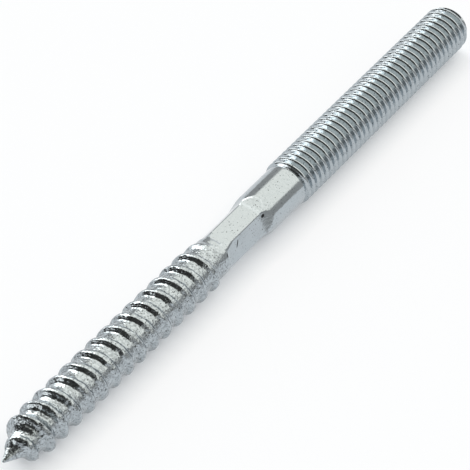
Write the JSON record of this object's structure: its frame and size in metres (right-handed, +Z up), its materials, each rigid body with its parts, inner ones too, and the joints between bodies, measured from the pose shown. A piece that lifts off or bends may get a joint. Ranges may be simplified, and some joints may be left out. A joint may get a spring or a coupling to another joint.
{
  "type": "hanger bolt",
  "caption": "Double-ended steel stud lying on its side: coarse wood thread with a sharp point, pressed hexagon for a spanner, short plain shank and a metric thread with a rounded end",
  "frame": {"origin": "middle of the stud's footprint, on the surface that it lies on", "axes": "+X along the stud from the wood point to the rounded metric end, +Z up, with a flat of the hexagon facing up"},
  "size_m": [0.1186, 0.0078, 0.0079],
  "materials": {
    "zinc_plated_steel": "bright zinc plating over rolled steel"
  },
  "bodies": {
    "root": {"hanger_bolt": "zinc_plated_steel"}
  },
  "joints": []
}
